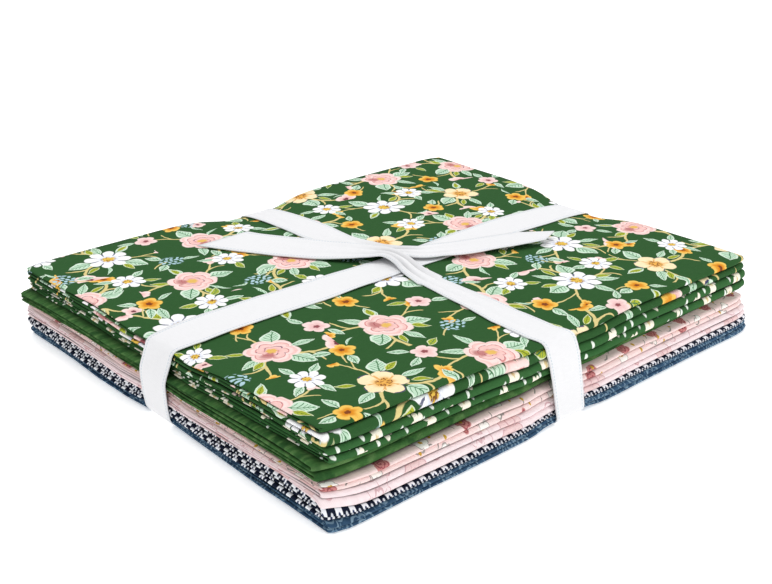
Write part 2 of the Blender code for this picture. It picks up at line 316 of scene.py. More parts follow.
def top_height(x, y):
    """Height of the stack's top: uneven corners, drawn down at the edges where the ribbon goes over."""
    left_front, right_front, left_back = FOLD_TOPS[-1]
    across = np.clip(x / FOLDED_LENGTH + 0.5, 0.0, 1.0)
    along = np.clip(y / FOLDED_WIDTH + 0.5, 0.0, 1.0)
    front = left_front + (right_front - left_front) * across
    back = left_back + (RIGHT_BACK_TOP - left_back) * across
    rise = MIDDLE_RISE * np.sin(math.pi * across) * np.sin(math.pi * along)
    dip_a = towards_edge(x, HALF_LENGTH) * bell(past_bed(y - BED_Y))
    dip_b = towards_edge(y, HALF_WIDTH) * bell(past_bed(x - BED_X))
    return front + (back - front) * along + rise - EDGE_DIP * (dip_a + dip_b)


def underside_height(x, y):
    """Height of the stack's underside, which lies on the ribbon."""
    over_a = np.maximum(1.0 - past_bed(y - BED_Y) / GROOVE_SPREAD, 0.0)
    over_b = np.maximum(1.0 - past_bed(x - BED_X) / GROOVE_SPREAD, 0.0)
    return GROOVE_DEPTH * np.maximum(over_a, over_b)


def lift_along(run, steps, lifts, place, spans):
    """How much higher a point lies along one side of the stack."""
    keys, *shares = zip(*spans)
    return sum(
        np.interp(run, steps, column) * np.interp(place, keys, share) for column, share in zip(zip(*lifts), shares)
    )


def settled(x, y, run):
    """Where a point of an even stack lies in the tied one. Its height is counted in runs."""
    levels = np.array(((0.0, 0.0, 0.0), *FOLD_TOPS)) / np.array(FOLD_TOPS[-1])
    steps = np.arange(len(levels)) * RUNS / 2
    left_front, right_front, left_back = (np.interp(run, steps, column) for column in levels.T)
    across = x / FOLDED_LENGTH + 0.5
    along = y / FOLDED_WIDTH + 0.5
    share = left_front + (right_front - left_front) * across + (left_back - left_front) * along
    low = underside_height(x, y)
    place = x * WAVE_RATES[0] + y * WAVE_RATES[1] + run * WAVE_RATES[2]
    lift = WAVE_HEIGHT * waves(place, WAVE_SEED) * np.sin(math.pi * np.clip(share, 0.0, 1.0))
    lift = lift + lift_along(run, steps, LEFT_LIFTS, y, LEFT_SPANS) * bell(x + HALF_LENGTH, LEFT_LIFT_REACH)
    lift = lift + lift_along(run, steps, FRONT_LIFTS, x, FRONT_SPANS) * bell(y + HALF_WIDTH, FRONT_LIFT_REACH)
    z = low + share * (top_height(x, y) - low) + lift
    pull = SIDE_PULL * (LOW_PULL + (1.0 - LOW_PULL) * share)
    pull_x = pull * np.abs(x / HALF_LENGTH) ** SIDE_PULL_POWER * bell(past_bed(y - BED_Y), PULL_SPREAD)
    pull_y = pull * np.abs(y / HALF_WIDTH) ** SIDE_PULL_POWER * bell(past_bed(x - BED_X), PULL_SPREAD)
    near_side = np.clip(1.0 - (HALF_LENGTH - np.abs(x)) / CORNER_REACH, 0.0, CORNER_LIMIT)
    rounding = CORNER_ROUNDING * near_side**2 * np.abs(y / HALF_WIDTH) ** CORNER_POWER
    return x - np.sign(x) * pull_x, y - np.sign(y) * (pull_y + rounding), z


def folded_profile(columns):
    """The cloth folded in four, seen from the front: share of the width, extra x, offset in runs, print place.

    The outer fold and the one inside it are at the left, the other fold and both selvages at the right.
    """
    first, second, third, fourth = PLY_MIDDLES
    out = np.linspace(0.0, 1.0, columns)
    line = []  # share of the width, extra x, offset, normal in x, normal in height
    line += [(share, 0.0, first, 0.0, 1.0) for share in out[::-1]]
    for step in range(1, OUTER_TURN_STEPS):
        turn = math.pi * step / OUTER_TURN_STEPS
        line.append((0.0, -LIP_DEPTH * math.sin(turn), first * math.cos(turn), -math.sin(turn), math.cos(turn)))
    line += [(share, 0.0, second, 0.0, -1.0) for share in out]
    middle, radius = (second + third) / 2, (third - second) / 2
    depth = LIP_DEPTH * radius / first
    for step in range(1, INNER_TURN_STEPS):
        turn = math.pi * step / INNER_TURN_STEPS
        line.append((1.0, depth * math.sin(turn), middle - radius * math.cos(turn), math.sin(turn), -math.cos(turn)))
    line += [(share, 0.0, third, 0.0, 1.0) for share in out[::-1]]
    depth = LIP_DEPTH * fourth / first
    for step in range(1, INNER_TURN_STEPS):
        turn = math.pi * step / INNER_TURN_STEPS
        line.append((0.0, -depth * math.sin(turn), -fourth * math.cos(turn), math.sin(turn), math.cos(turn)))
    line += [(share, 0.0, fourth, 0.0, -1.0) for share in out]
    line = np.array(line)
    for start, setback in zip((0, len(line) - columns), SELVAGE_SETBACK):
        ply = slice(start, start + columns)
        line[ply, 1] -= setback * line[ply, 0] ** SETBACK_POWER
    ahead = np.diff(line[:, :3] * (FOLDED_LENGTH, 1.0, RUN_HEIGHT), axis=0)
    travelled = np.hypot(ahead[:, 0] + ahead[:, 1], ahead[:, 2])
    place = HALF_LENGTH - np.concatenate([[0.0], np.cumsum(travelled)])
    half = PLY_THICKNESS / 2
    sides = []
    for side in (1.0, -1.0):
        lip = LIP_DEPTH / first * half * side
        shell = np.column_stack([
            line[:, 0], line[:, 1] + line[:, 3] * lip, line[:, 2] + line[:, 4] * half * side, place,
        ])
        sides.append(shell if side > 0 else shell[::-1])
    return np.vstack(sides)


def neighbouring(table, first, near_top, near_bottom):
    """A fold's own row of a table, and where it meets a neighbour, the neighbour's row."""
    rows = np.array(table)
    above = rows[np.minimum(first + 1, len(rows) - 1)]
    below = rows[np.maximum(first - 1, 0)]
    return rows[first], np.where(near_top[..., None], above, np.where(near_bottom[..., None], below, rows[first]))


def hidden_depth(x, y, run):
    """How far a point lies inside the stack, past the edge of whichever fold covers it."""
    across = np.clip(x / FOLDED_LENGTH + 0.5, 0.0, 1.0)
    along = np.clip(y / FOLDED_WIDTH + 0.5, 0.0, 1.0)
    fold = np.clip(run // 2, 0, 2 * CUTS - 1).astype(int)
    within = run / 2 - fold
    own, other = neighbouring(FOLD_FRONTS, fold, within > 1.0 - FOLD_BORDER, within < FOLD_BORDER)
    own, other = (pair[..., 0] + (pair[..., 1] - pair[..., 0]) * across for pair in (own, other))
    front = np.maximum(own, other)
    cut = fold // 2
    within = run / RUNS - cut
    own, other = neighbouring(CUT_EDGES, cut, within > 1.0 - CUT_BORDER, within < CUT_BORDER)
    left = np.maximum(*(edges[..., 0] + (edges[..., 1] - edges[..., 0]) * along for edges in (own, other)))
    right = np.minimum(*(edges[..., 2] + (edges[..., 3] - edges[..., 2]) * along for edges in (own, other)))
    back = np.minimum(own[..., 4], other[..., 4])
    return np.minimum(np.minimum(x - left, right - x), np.minimum(y - front, back - y))


def folded_cut(name, place, rows=None):
    """One folded cut. `place` counts the cuts from the bottom, `rows` sets how finely its top run is drawn."""
    fronts = FOLD_FRONTS[2 * place : 2 * place + 2]
    left_front, left_back, right_front, right_back, back = CUT_EDGES[place]
    stations = np.sin(np.linspace(-1.0, 1.0, ROW_STATIONS) * math.pi / 2)
    line = []  # y at left and right, height in runs, normal in y, normal in height, run number
    for run in range(RUNS):
        to_front = run % 2 == 0
        side = -1.0 if to_front else 1.0
        front_pair = np.array(fronts[run // 2]) + FOLD_DEPTH / 2
        back_pair = np.array((back, back)) - FOLD_DEPTH / 2
        along = stations if rows is None or run < RUNS - 1 else np.linspace(-1.0, 1.0, rows)
        for share in (-along if to_front else along):
            pair = (front_pair + back_pair) / 2 + (back_pair - front_pair) / 2 * share
            line.append((*pair, run + 0.5, 0.0, side, run))
        if run == RUNS - 1:
            break
        pair = front_pair if to_front else back_pair
        for step in range(1, TURN_STEPS):
            turn = math.pi * step / TURN_STEPS
            out = side * math.sin(turn)
            rise = -math.cos(turn)
            height = run + 1.0 + 0.5 * rise
            line.append((*(pair + FOLD_DEPTH / 2 * out), height, -side * out, -side * rise, run + 0.5))
    line = np.array(line)
    step = np.hypot(np.diff(line[:, :2].mean(1)), np.diff(line[:, 2]) * RUN_HEIGHT)
    travelled = np.concatenate([[0.0], np.cumsum(step)])
    share, extra, offset, print_x = folded_profile(COLUMN_STATIONS).T
    back_share = (line[:, :2].mean(1) / FOLDED_WIDTH + 0.5)[:, None]
    along = travelled[:, None] / CUT_LENGTH
    left = left_front + (left_back - left_front) * back_share + swing(along, place, *LEFT_WANDER)
    right = right_front + (right_back - right_front) * back_share + swing(along, place, *RIGHT_WANDER)
    x = left + LIP_DEPTH + (right - left - LIPS_ACROSS * LIP_DEPTH) * share + extra
    across = x / FOLDED_LENGTH + 0.5
    y = line[:, 0:1] + (line[:, 1:2] - line[:, 0:1]) * across + line[:, 3:4] * offset * FOLD_DEPTH
    fold = np.floor(line[:, 5:6] / 2) + 2 * place
    near_front = np.clip(-y / HALF_WIDTH, 0.0, 1.0) ** FRONT_WANDER_POWER
    for number in range(2 * place, 2 * place + 2):
        y = y + np.where(fold == number, swing(x, number, *FRONT_WANDER) * near_front, 0.0)
    run = place * RUNS + line[:, 2:3] + line[:, 4:5] * offset
    points = np.stack(settled(x, y, run), axis=-1)
    uv = np.stack(np.broadcast_arrays(print_x[None, :], travelled[:, None]), axis=-1)
    # Painted shade in the creases: 0 at the edge of the fold that covers a point, darkening to 1 deeper inside the
    # stack, and none on the stack's bottom and top surfaces.
    setback = np.minimum(extra, 0.0) * (share > 0.5)
    depth = np.clip((hidden_depth(x - setback, y, run) - CREASE_SHADE_START) / CREASE_SHADE_REACH, 0.0, 1.0)
    depth = np.where((run < UNSHADED_SHARE) | (run > CUTS * RUNS - UNSHADED_SHARE), 0.0, depth)
    return cloth_object(name, points, uv, depth)


def cloth_object(name, points, uv, crease_shades):
    """A closed cloth from a grid of points, whose columns run round it and whose end rows are closed across.

    Each point has its place on the flat cloth, and the painted shade of its crease from 0 to 1.
    """
    rows, columns = points.shape[:2]
    index = np.arange(rows * columns).reshape(rows, columns)
    after = np.roll(index, -1, axis=1)
    around = np.stack([index[:-1], after[:-1], after[1:], index[1:]], axis=-1).reshape(-1, 4)
    half = columns // 2
    ends = []
    for ring in (index[0], index[-1][::-1]):
        other = ring[::-1]
        ends.append(np.stack([ring[: half - 1], other[: half - 1], other[1:half], ring[1:half]], axis=-1))
    faces = np.vstack([around, *ends])
    mesh = bpy.data.meshes.new(name)
    mesh.from_pydata(points.reshape(-1, 3).tolist(), [], faces.tolist())
    layer = mesh.uv_layers.new(name="print")
    layer.data.foreach_set("uv", uv.reshape(-1, 2)[faces.ravel()].astype(np.float32).ravel())
    mesh.polygons.foreach_set("use_smooth", np.ones(len(faces), bool))
    shape = bmesh.new()
    shape.from_mesh(mesh)
    bmesh.ops.recalc_face_normals(shape, faces=shape.faces)
    shape.to_mesh(mesh)
    shape.free()
    # The painted shade of each point's crease, which darkens its colour.
    painted_crease_shade = mesh.attributes.new("painted_crease_shade", "FLOAT", "POINT")
    painted_crease_shade.data.foreach_set("value", crease_shades.ravel().astype(np.float32))
    made = bpy.data.objects.new(name, mesh)
    scene.collection.objects.link(made)
    return made


def add_node(tree, kind, fed=(), **settings):
    """A new node with its settings. Each input that is fed gets a fixed value or another node's output."""
    node = tree.nodes.new("ShaderNode" + kind)
    for name, setting in settings.items():
        setattr(node, name, setting)
    for key, value in fed.items() if isinstance(fed, dict) else enumerate(fed):
        value = value.socket if isinstance(value, Value) else value
        if isinstance(value, bpy.types.NodeSocket):
            tree.links.new(value, node.inputs[key])
        else:
            node.inputs[key].default_value = value
    return node


class Value:
    """A number that a material works out at each place, so that a print reads as arithmetic."""

    def __init__(self, tree, socket):
        self.tree = tree
        self.socket = socket

    def math(self, operation, *others):
        return Value(self.tree, add_node(self.tree, "Math", (self, *others), operation=operation).outputs[0])

    __add__ = partialmethod(math, "ADD")
    __sub__ = partialmethod(math, "SUBTRACT")
    __mul__ = partialmethod(math, "MULTIPLY")
    __truediv__ = partialmethod(math, "DIVIDE")
    __pow__ = partialmethod(math, "POWER")
    __neg__ = partialmethod(math, "MULTIPLY", -1.0)
    __abs__ = partialmethod(math, "ABSOLUTE")

    def over(self, low, high):
        """0 below `low`, 1 above `high`, smooth between them."""
        fed = {"Value": self, "From Min": low, "From Max": high}
        node = add_node(self.tree, "MapRange", fed, interpolation_type="SMOOTHSTEP")
        return Value(self.tree, node.outputs["Result"])

    def above(self, limit):
        """1 over the limit, else 0."""
        return self.math("GREATER_THAN", limit)

    def below(self, limit):
        """1 under the limit, else 0."""
        return self.math("LESS_THAN", limit)

    def under(self, limit, soft):
        """1 under the limit, 0 over it, smooth between them."""
        return (-(self - limit)).over(-soft, soft)

    def within(self, low, high, soft):
        """1 between the limits, 0 outside them, smooth between."""
        return self.over(low - soft, low + soft) * self.under(high, soft)


def linear(red, green, blue):
    """A colour from its usual 0 to 255 values."""
    return (*(((c / 255 + 0.055) / 1.055) ** 2.4 if c > 10 else c / 255 / 12.92 for c in (red, green, blue)), 1.0)


class Cloth:
    """A cloth's looks: its material, the place on the flat cloth in millimetres, and the paints laid on it."""

    def __init__(self, name, ground):
        self.material = bpy.data.materials.new(name)
        self.material.use_nodes = True
        self.tree = self.material.node_tree
        self.shader = self.tree.nodes["Principled BSDF"]
        self.shader.inputs["Roughness"].default_value = COTTON_ROUGHNESS
        self.shader.inputs["Specular IOR Level"].default_value = COTTON_SHINE
        place = self.split(add_node(self.tree, "UVMap", uv_map="print").outputs["UV"])
        self.x, self.y = place[0] * 1000.0, place[1] * 1000.0
        self.colour = ground

    def vector(self, *values):
        return add_node(self.tree, "CombineXYZ", values).outputs[0]

    def split(self, vector):
        return [Value(self.tree, output) for output in add_node(self.tree, "SeparateXYZ", (vector,)).outputs]

    def blotch(self, size, detail=2.0, seed=0.0, squeeze=1.0):
        """Soft random value from 0 to 1 whose spots are about `size` millimetres."""
        place = self.vector(self.x * squeeze, self.y, seed)
        node = add_node(self.tree, "TexNoise", {"Vector": place, "Scale": 1.0 / size, "Detail": detail})
        return Value(self.tree, node.outputs["Fac"])

    def wobble(self, amount, size):
        """Bends the drawing a little, as a brush does."""
        x, y = self.x, self.y
        self.x = x + (self.blotch(size, 1.0, 3.0) - 0.5) * (amount * 2)
        self.y = y + (self.blotch(size, 1.0, 9.0) - 0.5) * (amount * 2)

    def turn(self, degrees):
        """Lays the drawing at a slant on the cloth."""
        cos, sin = math.cos(math.radians(degrees)), math.sin(math.radians(degrees))
        self.x, self.y = self.x * cos - self.y * sin, self.x * sin + self.y * cos

    def chances(self, *values):
        """Four random numbers from 0 to 1, the same for the same values."""
        node = add_node(self.tree, "TexWhiteNoise", {"Vector": self.vector(*values)})
        return Value(self.tree, node.outputs["Value"]), *self.split(node.outputs["Color"])

    def chance(self, *values):
        return self.chances(*values)[0]

    def scatter(self, width, height, jitter, seed, start=(0.0, 0.0)):
        """Repeats a drawing at uneven places: x and y from its own middle, turned at random, and a random number."""
        rows = (self.y - start[1]) / height
        row = rows.math("FLOOR")
        steps = (self.x - start[0]) / width + row * 0.5
        column = steps.math("FLOOR")
        pick, aside, onward, turn = self.chances(column + 0.5, row + 0.5, float(seed))
        x = (steps - column - 0.5) * width + (aside - 0.5) * jitter
        y = (rows - row - 0.5) * height + (onward - 0.5) * jitter
        angle = turn * (2 * math.pi)
        cos, sin = angle.math("COSINE"), angle.math("SINE")
        return x * cos - y * sin, x * sin + y * cos, pick

    def mixed(self, first, second, amount):
        """A colour between two, each of which is given by its 0 to 255 values or mixed before."""
        first, second = (linear(*colour) if isinstance(colour, tuple) else colour for colour in (first, second))
        return add_node(self.tree, "Mix", {"Factor": amount, 6: first, 7: second}, data_type="RGBA").outputs[2]

    def paint(self, colour, amount):
        """Lays a colour, or a mixed one, over what is there."""
        self.colour = self.mixed(self.colour, colour, amount)

    def finish(self, piece, node, slubs=1.0):
        """Adds the woven surface and the painted shade in its creases, gives the piece its material and makes it
        stand for its solid.
        """
        thread = 2 * math.pi / THREAD_PITCH
        weave = (self.x * thread).math("SINE") * (self.y * thread).math("SINE")
        slub = self.blotch(SLUB_SIZE, seed=SLUB_SEED, squeeze=SLUB_SQUEEZE)
        painted_crease_shade = Value(self.tree, add_node(self.tree, "Attribute", attribute_name="painted_crease_shade").outputs["Fac"])
        grain_and_painted_shade = slub * (SLUB_SHADE * slubs) + weave * THREAD_SHADE + (1.0 - SLUB_SHADE / 2 * slubs)
        # Painted shade: the colour is darkened in the creases between folds and in the ribbon's pleats.
        grain_and_painted_shade = grain_and_painted_shade * (painted_crease_shade * -CREASE_SHADE + 1.0)
        shade = add_node(self.tree, "HueSaturation", {"Color": self.colour, "Value": grain_and_painted_shade})
        relief = weave + slub * (SLUB_RELIEF * slubs)
        fed = {"Strength": RELIEF_STRENGTH, "Distance": SURFACE_RELIEF, "Height": relief}
        bump = add_node(self.tree, "Bump", fed)
        self.tree.links.new(shade.outputs[0], self.shader.inputs["Base Color"])
        self.tree.links.new(bump.outputs[0], self.shader.inputs["Normal"])
        piece.data.materials.append(self.material)
        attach(piece, "root")
        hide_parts(node)


def petals(x, y, count, radius, notch):
    """A ring of petals: how far out a place is, 1 at the rim, and 0 between two petals to 1 at a petal's middle."""
    distance = (x * x + y * y).math("SQRT")
    lobe = abs((y.math("ARCTAN2", x) * (count / 2)).math("COSINE"))
    rim = (lobe**0.6 * notch + (1.0 - notch)) * radius
    return distance / rim, lobe


blue = Cloth("blue_cotton", (58, 88, 116))
blue.turn(24.0)
blue.wobble(0.5, 5.0)
blue.paint((40, 66, 94), blue.blotch(9.0, 3.0).over(0.45, 0.62) * 0.7)
x, y, _ = blue.scatter(13.0, 12.0, 3.0, 1)
reach, _ = petals(x, y, 5, 5.4, 0.42)
for ring, strength in ((1.0, 0.8), (0.62, 0.55), (0.28, 0.7)):
    blue.paint((142, 172, 192), abs(reach - ring).under(0.075, 0.03) * strength)
x, y, pick = blue.scatter(5.0, 4.6, 1.0, 4)
curl = abs(y + x * x * 0.3).under(0.28, 0.12) * abs(x).under(1.4, 0.2)
blue.paint((108, 142, 168), curl * pick.above(0.3) * 0.7)
cut_blue = folded_cut("cut_blue", 0)
blue.finish(cut_blue, "cloth_blue")

# The second cut: white quilting cotton printed with a small check of near-black squares, some rows of which
# have a dot in each square. It is folded as the first is and lies on it.
CHECK_SQUARE = 3.028
CHECK_START = (0.946, 0.52)
CHECK_LINE = (1.30, 1.42)
DOT_RADIUS = 0.50
check = Cloth("check_cotton", (246, 248, 253))
across = check.x / CHECK_SQUARE + CHECK_START[0]
along = check.y / CHECK_SQUARE + CHECK_START[1]
column = across.math("FLOOR")
row = along.math("FLOOR")
dark = ((column + row) * 0.5).math("FRACT").over(0.2, 0.3)
off_x = (across - column - 0.5) * CHECK_SQUARE
off_y = (along - row - 0.5) * CHECK_SQUARE
dot = (off_x * off_x + off_y * off_y).math("SQRT").under(DOT_RADIUS, 0.12)
outline = abs(off_x).math("MAXIMUM", abs(off_y)).over(*CHECK_LINE)
dotted_row = (row * 0.25).math("FRACT").below(0.3)
check.paint((22, 29, 48), dark.math("MAXIMUM", outline))
check.paint((44, 54, 92), dot * dotted_row * (-dark + 1.0))
check.paint((236, 240, 248), dot * dotted_row * dark * 0.8)
cut_check = folded_cut("cut_check", 1)
check.finish(cut_check, "cloth_check")

# The third cut: very pale blush quilting cotton, printed with faint flowers in a darker pink, some of them
# filled and all outlined. It is folded as the others are.
blush = Cloth("blush_cotton", (249, 231, 233))
blush.turn(17.0)
blush.wobble(0.8, 5.0)
x, y, pick = blush.scatter(21.0, 18.0, 6.0, 2)
reach, lobe = petals(x, y, 5, 6.6, 0.35)
blush.paint((236, 200, 198), reach.under(1.0, 0.05) * pick.above(0.45) * 0.7)
blush.paint((212, 166, 172), abs(reach - 1.0).under(0.035, 0.02) * 0.8)
blush.paint((206, 158, 164), abs(reach - 0.35).under(0.05, 0.02) * 0.7)
blush.paint((206, 158, 164), lobe.under(0.1, 0.05) * reach.within(0.4, 0.8, 0.05) * 0.7)
cut_blush = folded_cut("cut_blush", 2)
blush.finish(cut_blush, "cloth_blush")

# The fourth cut: pale pink quilting cotton, printed with small rose blooms, white blossoms, mustard dots and
# grey sprigs. It is folded as the others are.
posy = Cloth("posy_cotton", (249, 224, 221))
posy.turn(28.0)
posy.wobble(0.6, 4.0)
x, y, pick = posy.scatter(6.0, 5.6, 1.6, 3)
sprig = abs(y + x * x * 0.12).under(0.22, 0.10) * abs(x).under(2.0, 0.3)
posy.paint((112, 118, 112), sprig * pick.above(0.45) * 0.85)
x, y, pick = posy.scatter(13.5, 12.0, 3.0, 5)
reach, _ = petals(x, y, 5, 3.5, 0.3)
folds_of_rose = (reach * 2.6 + y.math("ARCTAN2", x) / (2 * math.pi)).math("FRACT")
bloom = posy.mixed((202, 132, 130), (250, 246, 240), pick.above(0.5))
posy.paint(bloom, reach.under(1.0, 0.06))
posy.paint((150, 78, 84), folds_of_rose.under(0.34, 0.08) * reach.under(0.9, 0.05) * pick.below(0.51))
posy.paint((120, 120, 116), abs(reach - 1.0).under(0.06, 0.04) * pick.above(0.51) * 0.7)
posy.paint((214, 168, 74), reach.under(0.30, 0.05) * pick.above(0.51))
x, y, pick = posy.scatter(6.5, 7.5, 2.4, 8)
posy.paint((206, 164, 66), (x * x + y * y).math("SQRT").under(0.75, 0.12) * pick.above(0.6))
cut_posy = folded_cut("cut_posy", 3)
posy.finish(cut_posy, "cloth_posy")

# The fifth cut: grass-green quilting cotton with no drawing, printed in soft lighter and darker streaks.
# It is folded as the others are and stands out furthest at the left.
mottled = Cloth("mottled_cotton", (60, 102, 52))
mottled.paint((98, 134, 80), mottled.blotch(2.6, 4.0, 0.0, 0.3).over(0.44, 0.66) * 0.7)
mottled.paint((34, 72, 36), mottled.blotch(4.0, 3.0, 7.0, 0.5).over(0.48, 0.66) * 0.75)
cut_mottled = folded_cut("cut_mottled", 4)
mottled.finish(cut_mottled, "cloth_mottled")

# The sixth cut: dark green quilting cotton, printed with white dots and small cream blossoms.
# It is folded as the others are.
blossom = Cloth("blossom_cotton", (54, 100, 54))
blossom.turn(33.0)
blossom.wobble(0.3, 2.0)
x, y, pick = blossom.scatter(6.2, 5.4, 2.2, 6)
blossom.paint((238, 246, 236), (x * x * 0.6 + y * y).math("SQRT").under(0.72, 0.15) * pick.above(0.12))
x, y, pick = blossom.scatter(13.0, 11.5, 4.0, 7)
reach, _ = petals(x, y, 5, 3.4, 0.45)
blossom.paint((252, 246, 228), reach.under(1.0, 0.06) * pick.above(0.2))
blossom.paint((222, 200, 150), reach.under(0.3, 0.08) * pick.above(0.2))
cut_blossom = folded_cut("cut_blossom", 5)
blossom.finish(cut_blossom, "cloth_blossom")

# The top cut: dark green quilting cotton, printed with a loose painted floral of daisies, roses, poppies,
# leaves and curling stems. It is folded as the others are, and the ribbon's two laps press it down.
MINT = (196, 226, 200)
MINT_VEIN = (70, 122, 80)
LIME = (176, 186, 60)
LIME_VEIN = (112, 128, 40)
STEM = (222, 204, 140)
NAVY = (58, 64, 104)
PINK_BUD = ((240, 196, 192), (252, 226, 220), (120, 62, 70))  # petals, their rims, the middle
PINK_BLOSSOM = ((238, 196, 194), (250, 222, 218), (150, 84, 88))
MUSTARD_BUD = ((222, 142, 36), (248, 204, 104), (132, 70, 34))
MUSTARD_BLOSSOM = ((222, 142, 36), (246, 200, 96), (132, 70, 34))
SPRAY = (53.0, 46.0)
TOP_RUN_ROWS = 44
floral = Cloth("floral_cotton", (47, 88, 46))


def spokes(x, y, count):
    """Folds the surroundings of a bloom into uneven spokes: the way outward, sideways and the spoke's number."""
    distance = (x * x + y * y).math("SQRT")
    turn = y.math("ARCTAN2", x) / (2 * math.pi)
    spread = (turn + (turn * (4 * math.pi)).math("SINE") * 0.04) * count
    number = spread.math("FLOOR")
    side = (spread - number - 0.5) * (2 * math.pi / count)
    return distance * side.math("COSINE"), distance * side.math("SINE"), number


def leaf(x, y, length, width, fill, vein, shown):
    """A pointed leaf, fuller near its stalk, with a pale rim, a middle vein and side veins."""
    along = x * (2 / length)
    blade = (-(along * along) + 1.0) * (along * -0.35 + 1.0) * (width / 2)
    across = abs(y)
    inside = (blade - across).over(-0.1, 0.12) * abs(along).under(1.0, 0.02) * shown
    floral.paint(fill, inside)
    floral.paint((240, 248, 236), inside * (blade - across).under(0.5, 0.15) * 0.6)
    middle_vein = across.under(0.20, 0.08) * along.under(0.75, 0.05)
    side_vein = abs(((x - across * 1.3) / 2.1).math("FRACT") - 0.5).under(0.10, 0.05)
    floral.paint(vein, inside * middle_vein)
    floral.paint(vein, inside * side_vein * (blade * 0.75 - across).over(0.0, 0.15) * 0.9)


def daisy(x, y, radius, shown):
    """A white flower of eight petals with a seeded yellow middle."""
    reach, lobe = petals(x, y, 8, radius, 0.36)
    petal = floral.mixed((214, 220, 238), (253, 253, 254), reach.over(0.25, 0.6))
    floral.paint(petal, reach.under(1.0, 0.03) * shown)
    floral.paint(NAVY, lobe.under(0.22, 0.08) * reach.within(0.62, 1.0, 0.06) * shown * 0.9)
    floral.paint((232, 192, 84), reach.under(0.30, 0.04) * shown)
    seeds = floral.blotch(0.9, 1.0, 31.0).over(0.54, 0.60)
    floral.paint((128, 84, 40), reach.within(0.08, 0.34, 0.03) * seeds * shown)


def rose(x, y, radius, shown):
    """A pink flower of curled petals, with a few strokes of the brush between them."""
    reach, _ = petals(x, y, 6, radius, 0.24)
    turn = y.math("ARCTAN2", x) / (2 * math.pi)
    swirl = (reach * 3.1 + turn * 2.0).math("FRACT")
    petal = floral.mixed((240, 188, 182), (251, 223, 218), reach.over(0.2, 0.75))
    floral.paint(petal, reach.under(1.0, 0.03) * shown)
    floral.paint((244, 200, 194), swirl.over(0.45, 0.75) * reach.within(0.15, 0.92, 0.05) * shown)
    floral.paint((214, 140, 138), swirl.under(0.13, 0.06) * reach.within(0.2, 0.85, 0.05) * shown)
    brushed = floral.blotch(2.4, 1.0, 41.0).over(0.50, 0.56)
    floral.paint(NAVY, swirl.under(0.09, 0.04) * reach.within(0.25, 0.66, 0.05) * brushed * shown)
    floral.paint((176, 92, 92), reach.under(0.66, 0.10) * turn.within(-0.22, -0.05, 0.03) * shown * 0.75)
    floral.paint((232, 188, 100), reach.under(0.20, 0.06) * shown)


def poppy(x, y, radius, shown):
    """A yellow flower of five broad petals, its rim drawn here and there."""
    reach, lobe = petals(x, y, 5, radius, 0.34)
    petal = floral.mixed((238, 178, 86), (253, 233, 190), reach.over(0.25, 0.6))
    floral.paint(petal, reach.under(1.0, 0.03) * shown)
    floral.paint((226, 158, 66), lobe.under(0.24, 0.1) * reach.within(0.3, 0.85, 0.08) * shown * 0.8)
    drawn = floral.blotch(4.0, 1.0, 51.0).over(0.52, 0.56)
    floral.paint(NAVY, abs(reach - 0.98).under(0.035, 0.02) * drawn * shown)
    seeds = floral.blotch(1.0, 1.0, 61.0).over(0.50, 0.56)
    floral.paint((124, 66, 40), reach.within(0.12, 0.36, 0.03) * seeds * shown)


def small_blossom(x, y, radius, colours, shown):
    petal, rim, middle = colours
    reach, _ = petals(x, y, 5, radius, 0.32)
    floral.paint(floral.mixed(petal, rim, reach.over(0.35, 0.9)), reach.under(1.0, 0.05) * shown)
    floral.paint(middle, reach.under(0.26, 0.06) * shown)


floral.turn(12.0)
floral.wobble(1.3, 7.0)
floral.wobble(0.22, 1.3)

# Sprays: a large bloom with leaves round it and long curved stems that end in small flowers
x, y, pick = floral.scatter(*SPRAY, 5.0, 17)
out, side, number = spokes(x, y, 3)
bend = (out - 8.0) * (out - 8.0) * 0.030
floral.paint(STEM, abs(side - bend).under(0.75, 0.15) * out.within(8.0, 27.0, 0.3))
bend = (out - 15.0) * (out - 15.0) * 0.07 - 1.5
floral.paint(STEM, abs(side + bend).under(0.6, 0.15) * out.within(15.0, 24.0, 0.3))
kind = floral.chance(number, pick, 2.0)
x_end, y_end = out - 26.0, side - 9.7
small_blossom(x_end, y_end, 5.4, PINK_BUD, kind.below(0.42))
small_blossom(x_end, y_end, 4.6, MUSTARD_BUD, kind.above(0.42))
leaves, beside, number = spokes(-y, x, 5)
leaf(leaves - 15.5, beside, 12.5, 6.4, MINT, MINT_VEIN, floral.chance(number, pick, 3.0).above(0.12))
leaves, beside, number = spokes(y, -x, 4)
leaf(leaves - 15.5, beside - 2.5, 9.5, 4.4, LIME, LIME_VEIN, floral.chance(number, pick, 4.0).above(0.3))
daisy(x, y, 11.5, pick.below(0.34))
rose(x, y, 12.0, pick.above(0.34) * pick.below(0.69))
poppy(x, y, 10.5, pick.above(0.69))

# Small daisies and pink blossoms, each with a few leaves, between the sprays
x, y, pick = floral.scatter(*SPRAY, 5.0, 12, (26.5, 15.3))
leaves, beside, number = spokes(x, y, 4)
shown = floral.chance(number, pick, 1.0)
leaf(leaves - 11.0, beside, 9.5, 4.8, floral.mixed(MINT, LIME, shown.above(0.75)), MINT_VEIN, shown.above(0.2))
small_blossom(x, y, 6.2, PINK_BLOSSOM, pick.below(0.44))
daisy(x, y, 8.0, pick.above(0.44))

